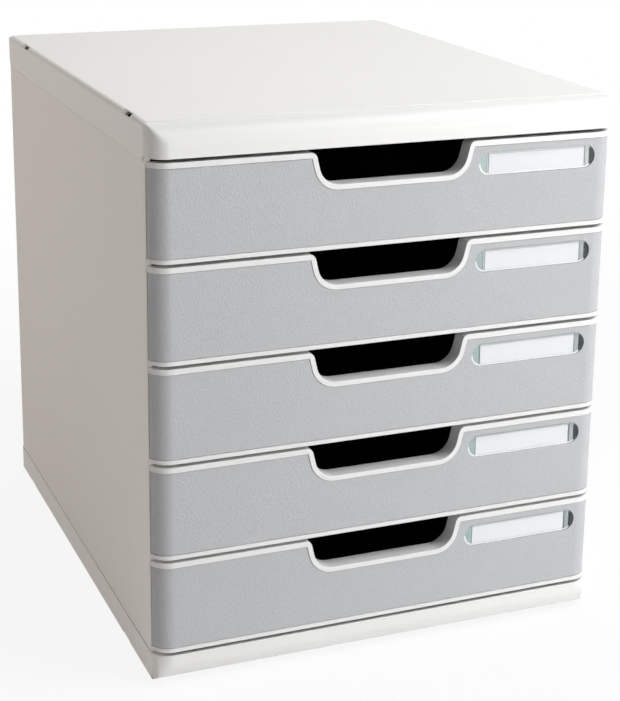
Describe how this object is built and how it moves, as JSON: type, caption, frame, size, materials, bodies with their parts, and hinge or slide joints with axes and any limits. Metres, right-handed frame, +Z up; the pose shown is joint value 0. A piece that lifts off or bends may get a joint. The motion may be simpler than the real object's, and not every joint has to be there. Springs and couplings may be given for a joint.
{
  "type": "desktop file drawer",
  "caption": "Desktop unit of shallow sliding drawers for A4 paper, with grey fronts, finger notches and clear label windows in a light plastic case.",
  "frame": {"origin": "on the desk, under the middle of the case", "axes": "+X to the right seen from the front, the drawer fronts face -Y, +Z up"},
  "size_m": [0.278, 0.342, 0.32],
  "materials": {
    "case_plastic": "warm white moulded polystyrene, fine satin texture",
    "side_plastic": "the same moulded plastic in a slightly warmer grey white, satin",
    "decor_plastic": "mid grey plate with a fine leather grain",
    "tray_plastic": "near black moulded plastic, satin",
    "clear_plastic": "clear plastic with a faint green tint, polished",
    "card_white": "white paper card",
    "foot_rubber": "matt"
  },
  "bodies": {
    "case": {"top_shell": "case_plastic", "base_shell": "case_plastic", "left_side": "side_plastic", "right_side": "side_plastic", "back_panel": "side_plastic", "rubber_feet": "foot_rubber"},
    "drawer_1": {"drawer_tray_1": "tray_plastic", "drawer_front_1": "case_plastic", "decor_panel_1": "decor_plastic", "label_window_1": "clear_plastic", "label_card_1": "card_white"},
    "drawer_2": {"drawer_tray_2": "tray_plastic", "drawer_front_2": "case_plastic", "decor_panel_2": "decor_plastic", "label_window_2": "clear_plastic", "label_card_2": "card_white"},
    "drawer_3": {"drawer_tray_3": "tray_plastic", "drawer_front_3": "case_plastic", "decor_panel_3": "decor_plastic", "label_window_3": "clear_plastic", "label_card_3": "card_white"},
    "drawer_4": {"drawer_tray_4": "tray_plastic", "drawer_front_4": "case_plastic", "decor_panel_4": "decor_plastic", "label_window_4": "clear_plastic", "label_card_4": "card_white"},
    "drawer_5": {"drawer_tray_5": "tray_plastic", "drawer_front_5": "case_plastic", "decor_panel_5": "decor_plastic", "label_window_5": "clear_plastic", "label_card_5": "card_white"}
  },
  "joints": [
    {"name": "drawer_1_slide", "type": "slide", "parent": "case", "child": "drawer_1", "axis": [0, -1, 0], "range_m": [0, 0.255]},
    {"name": "drawer_2_slide", "type": "slide", "parent": "case", "child": "drawer_2", "axis": [0, -1, 0], "range_m": [0, 0.255]},
    {"name": "drawer_3_slide", "type": "slide", "parent": "case", "child": "drawer_3", "axis": [0, -1, 0], "range_m": [0, 0.255]},
    {"name": "drawer_4_slide", "type": "slide", "parent": "case", "child": "drawer_4", "axis": [0, -1, 0], "range_m": [0, 0.255]},
    {"name": "drawer_5_slide", "type": "slide", "parent": "case", "child": "drawer_5", "axis": [0, -1, 0], "range_m": [0, 0.255]}
  ]
}
